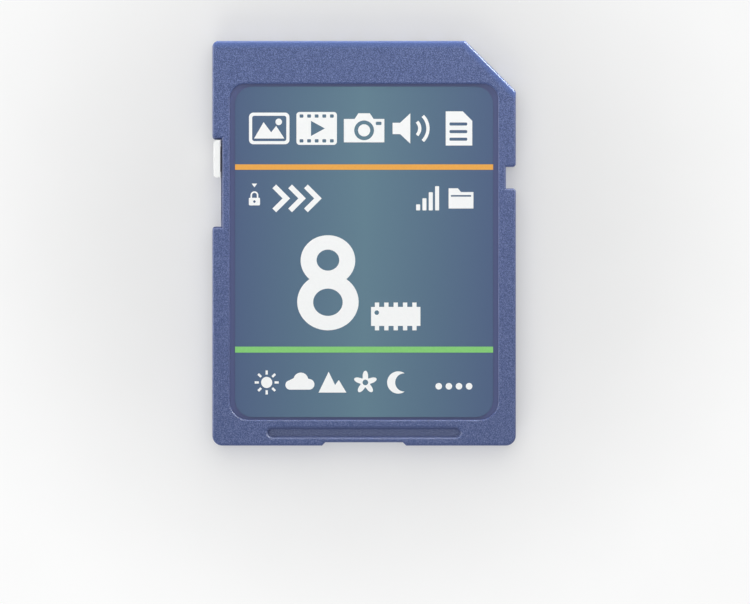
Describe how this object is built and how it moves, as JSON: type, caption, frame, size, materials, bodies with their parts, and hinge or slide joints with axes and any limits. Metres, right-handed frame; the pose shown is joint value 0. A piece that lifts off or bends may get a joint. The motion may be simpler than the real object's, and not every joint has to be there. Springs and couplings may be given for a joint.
{
  "type": "memory card",
  "caption": "Flat flash memory card: two blue shells with a keyed corner, a recessed label, a comb of contacts on the back and a white write-protect slider in a notch.",
  "frame": {"origin": "middle of the contact-side face, on which the card lies", "axes": "+Z out of the label, +Y towards the lead edge with the contacts, +X towards the keyed corner"},
  "size_m": [0.024, 0.032, 0.0021],
  "materials": {
    "shell_plastic": "spark-eroded matt moulding",
    "slider_plastic": "smooth moulding",
    "label_film": "printed film, satin",
    "contact_plating": "gold plated, bright",
    "solder_mask": "solder mask on glass-fibre laminate",
    "chip_epoxy": "moulded epoxy, matt",
    "tin_plate": "tin plated, satin",
    "capacitor_ceramic": "fired ceramic, matt",
    "resistor_glaze": "glass glaze on alumina"
  },
  "bodies": {
    "card": {"front_shell": "shell_plastic", "rear_shell": "shell_plastic", "front_label": "label_film", "circuit_board": "solder_mask", "memory_chip": "chip_epoxy", "memory_leads": "tin_plate", "controller_chip": "chip_epoxy", "component_terminals": "tin_plate", "contact_1": "contact_plating", "contact_2": "contact_plating", "contact_3": "contact_plating", "contact_4": "contact_plating", "contact_5": "contact_plating", "contact_6": "contact_plating", "contact_7": "contact_plating", "contact_8": "contact_plating", "contact_9": "contact_plating", "capacitor_1": "capacitor_ceramic", "capacitor_2": "capacitor_ceramic", "capacitor_3": "capacitor_ceramic", "capacitor_4": "capacitor_ceramic", "resistor_1": "resistor_glaze", "resistor_2": "resistor_glaze", "resistor_3": "resistor_glaze", "resistor_4": "resistor_glaze"},
    "lock_slider": {"write_protect_slider": "slider_plastic"}
  },
  "joints": [
    {"name": "lock_slide", "type": "slide", "parent": "card", "child": "lock_slider", "axis": [0, -1, 0], "range_m": [0, 0.00381]}
  ]
}
